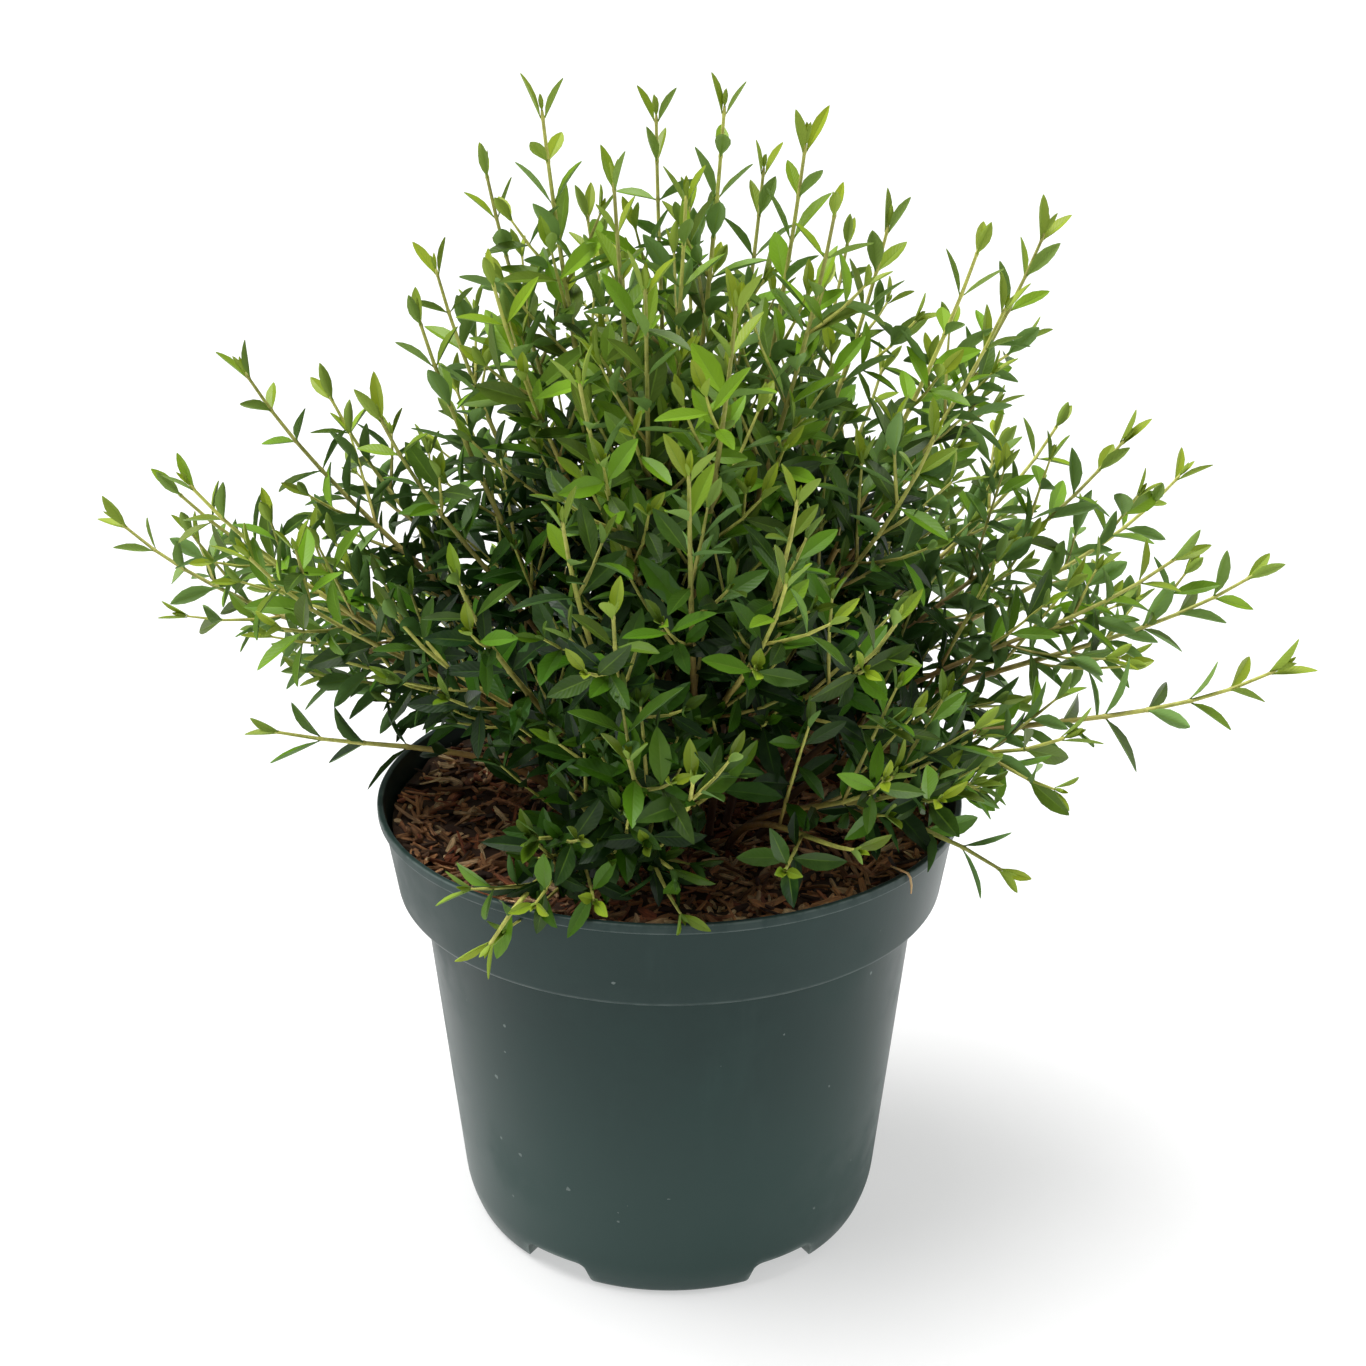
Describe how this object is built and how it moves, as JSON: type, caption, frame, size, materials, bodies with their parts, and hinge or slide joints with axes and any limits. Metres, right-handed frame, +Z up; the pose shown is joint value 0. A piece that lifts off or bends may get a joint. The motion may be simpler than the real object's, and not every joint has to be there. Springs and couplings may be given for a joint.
{
  "type": "potted myrtle",
  "caption": "Bushy small-leaved evergreen shrub with forked leafy stems in a round nursery pot on six feet, with bark mulch over the soil.",
  "frame": {"origin": "on the ground at the pot's axis, in the middle of the feet", "axes": "+Z up, +X to the right, the front faces -Y"},
  "size_m": [0.4718, 0.2791, 0.4517],
  "materials": {
    "pot": "satin moulded plastic",
    "soil": "moist peat",
    "bark": "rough dry bark",
    "leaf": "waxy leaf",
    "twig": "smooth young wood"
  },
  "bodies": {
    "root": {"pot": "pot", "growing_medium": "soil", "bark_mulch": "bark", "stem_crown_left_tall": "leaf", "stem_crown_left_inner": "leaf", "stem_crown_middle": "leaf", "stem_crown_middle_back": "leaf", "stem_crown_front": "leaf", "stem_crown_right_tall": "leaf", "stem_crown_right_outer": "leaf", "stem_right_high_front": "leaf", "stem_right_high_back": "leaf", "stem_left_high_back": "leaf", "stem_left_high": "leaf", "stem_left_reaching": "leaf", "stem_left_spreading": "leaf", "stem_left_furthest": "leaf", "stem_left_low": "leaf", "stem_right_back": "leaf", "stem_right_spreading": "leaf", "stem_right_reaching": "leaf", "stem_right_furthest": "leaf", "stem_right_low": "leaf", "stem_front_trailing": "leaf", "stem_front_tuft": "leaf", "stem_front_upper": "leaf", "stem_front_upper_left": "leaf", "stem_front_left": "leaf", "stem_front_upper_right": "leaf", "stem_front_low": "leaf", "stem_front_low_right": "leaf", "stem_back_high": "leaf", "stem_back_left": "leaf", "stem_back_right": "leaf", "stem_back_low_left": "leaf", "stem_back_low_right": "leaf", "stem_back_low": "leaf"}
  },
  "joints": []
}
